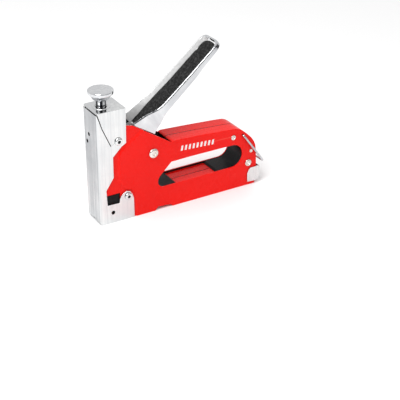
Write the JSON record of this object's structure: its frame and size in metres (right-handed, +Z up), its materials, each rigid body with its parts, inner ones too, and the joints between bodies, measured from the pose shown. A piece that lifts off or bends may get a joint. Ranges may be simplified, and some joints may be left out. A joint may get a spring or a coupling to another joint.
{
  "type": "staple gun",
  "caption": "Hand tacker with a pressed two-half body, plated nose, squeeze lever, tension knob, pull-out staple magazine and a wire lever lock.",
  "frame": {"origin": "middle of the object's box at the level of its flat base", "axes": "+X from the nose to the rear, +Y to the left side, +Z up from the base to the lever"},
  "size_m": [0.1886, 0.0354, 0.1636],
  "materials": {
    "red_paint": "gloss",
    "chrome": "polished",
    "steel": "satin",
    "dark_steel": "matt",
    "zinc": "satin",
    "rubber": "matt",
    "bronze": "satin"
  },
  "bodies": {
    "frame": {"shell_right": "red_paint", "shell_left": "red_paint", "nose_shell": "chrome", "nose_screw_right": "chrome", "nose_screw_left": "chrome", "nose_bolt": "chrome", "blade_guide": "steel", "bumper_block": "rubber", "tension_nut": "steel", "staple_channel": "steel", "liner_rear": "rubber", "liner_front": "rubber", "pivot_pin": "chrome", "rivet_top": "chrome", "rivet_mid": "chrome", "rivet_rear": "chrome", "spacer_top": "zinc", "spacer_rear": "zinc", "return_spring": "steel", "main_spring": "steel"},
    "lever": {"lever_arm": "chrome", "lever_grip": "rubber", "lever_bush": "bronze", "hook_pin": "steel", "hook_spring": "steel"},
    "hook": {"lifter_hook": "steel"},
    "hammer": {"hammer_block": "dark_steel", "driver_blade": "steel", "blade_rivet": "zinc"},
    "seat": {"spring_seat": "steel"},
    "knob": {"tension_knob": "chrome", "adjuster_screw": "steel"},
    "magazine": {"latch_cap": "chrome", "magazine_rod": "steel", "rod_end_block": "zinc", "pusher_spring": "steel"},
    "pusher": {"pusher_shoe": "zinc"},
    "bail": {"lock_bail": "steel"}
  },
  "joints": [
    {"name": "lever_squeeze", "type": "hinge", "parent": "frame", "child": "lever", "pos_m": [-0.03554, 0, 0.0642], "axis": [0, 1, 0], "range_deg": [0, 42], "stiffness_Nm_per_rad": 0.5, "springref_deg": -28.65, "deforming": ["return_spring"]},
    {"name": "hook_swing", "type": "hinge", "parent": "lever", "child": "hook", "pos_m": [-0.05634, 0, 0.07], "axis": [0, 1, 0], "range_deg": [-42.5, 0.5], "deforming": ["hook_spring"]},
    {"name": "hammer_lift", "type": "slide", "parent": "frame", "child": "hammer", "axis": [0, 0, 1], "range_m": [0, 0.0129], "deforming": ["main_spring"]},
    {"name": "knob_travel", "type": "slide", "parent": "frame", "child": "seat", "axis": [0, 0, 1], "range_m": [-0.005, 0]},
    {"name": "knob_turn", "type": "hinge", "parent": "seat", "child": "knob", "pos_m": [-0.08204, 0, 0.118], "axis": [0, 0, 1], "range_deg": [-1440, 0]},
    {"name": "magazine_slide", "type": "slide", "parent": "frame", "child": "magazine", "axis": [1, 0, 0], "range_m": [0, 0.12]},
    {"name": "pusher_slide", "type": "slide", "parent": "magazine", "child": "pusher", "axis": [1, 0, 0], "range_m": [0, 0.1], "stiffness_N_per_m": 20, "springref_m": -0.05, "deforming": ["pusher_spring"]},
    {"name": "bail_swing", "type": "hinge", "parent": "frame", "child": "bail", "pos_m": [0.06756, 0, 0.0587], "axis": [0, 1, 0], "range_deg": [-132, 0]}
  ],
  "couplings": [
    {"joint": "hook_swing", "follows": "lever_squeeze", "ratio": -1},
    {"joint": "hammer_lift", "follows": "lever_squeeze", "m_per_rad": 0.0175},
    {"joint": "knob_travel", "follows": "knob_turn", "m_per_rad": 0.00019894}
  ]
}
